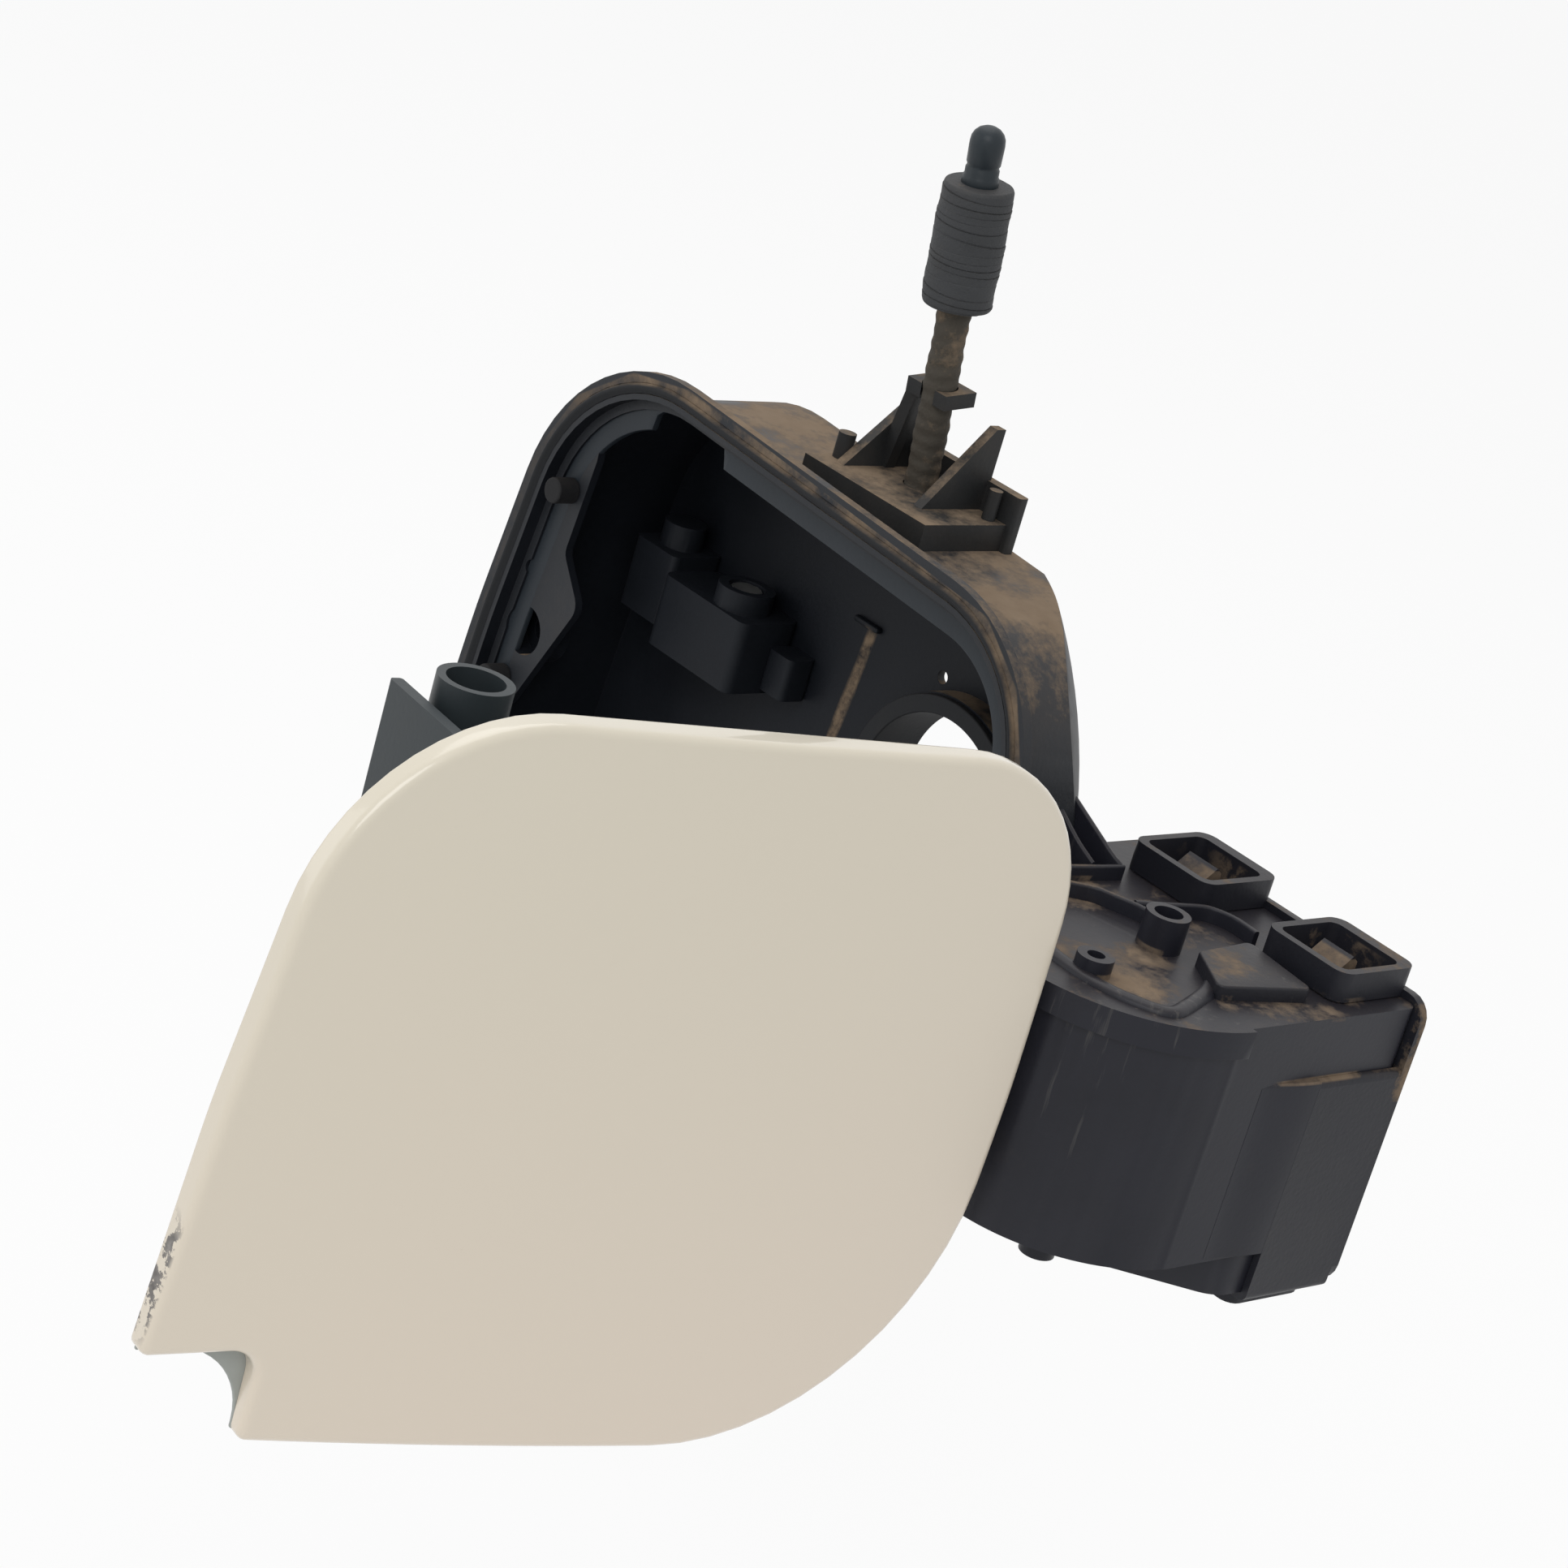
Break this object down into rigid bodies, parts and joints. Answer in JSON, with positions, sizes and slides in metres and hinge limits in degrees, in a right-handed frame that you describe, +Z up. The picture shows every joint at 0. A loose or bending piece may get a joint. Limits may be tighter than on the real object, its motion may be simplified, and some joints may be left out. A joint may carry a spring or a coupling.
{
  "type": "car fuel door",
  "caption": "crowned fuel flap on a gooseneck arm, swung open from a moulded filler basin with a drum-shaped hinge housing, lock pin and release lead",
  "frame": {"origin": "middle of the basin's mouth, in the plane of its flange, where the body panel seats", "axes": "X to the hinge side, Y into the car, Z up; the flap stands open as pictured"},
  "size_m": [0.3, 0.3172, 0.2751],
  "materials": {
    "basin": "matt",
    "rim_seal": "matt",
    "neck_ring": "matt",
    "buffers": "matt",
    "lead_bracket": "matt",
    "lead": "matt",
    "lead_wrap": "matt",
    "lead_plug": "satin",
    "hinge_box": "satin",
    "box_cover": "matt",
    "hinge_pin": "satin",
    "lock_body": "matt",
    "lock_bolt": "satin",
    "flap_skin": "gloss",
    "flap_inner": "satin",
    "flap_arm": "matt",
    "arm_screws": "satin",
    "latch_catch": "satin"
  },
  "bodies": {
    "housing": {"basin": "basin", "rim_seal": "rim_seal", "neck_ring": "neck_ring", "buffers": "buffers", "lead_bracket": "lead_bracket", "lead": "lead", "lead_wrap": "lead_wrap", "lead_plug": "lead_plug", "hinge_box": "hinge_box", "box_cover": "box_cover", "hinge_pin": "hinge_pin", "lock_body": "lock_body"},
    "flap": {"flap_skin": "flap_skin", "flap_inner": "flap_inner", "flap_arm": "flap_arm", "arm_screws": "arm_screws", "latch_catch": "latch_catch"},
    "bolt": {"lock_bolt": "lock_bolt"}
  },
  "joints": [
    {"name": "flap_hinge", "type": "hinge", "parent": "housing", "child": "flap", "pos_m": [0.148, 0.011, 0], "axis": [0, 0, 1], "range_deg": [-84, 4]},
    {"name": "bolt_slide", "type": "slide", "parent": "housing", "child": "bolt", "axis": [0, 0, 1], "range_m": [0, 0.008]}
  ]
}
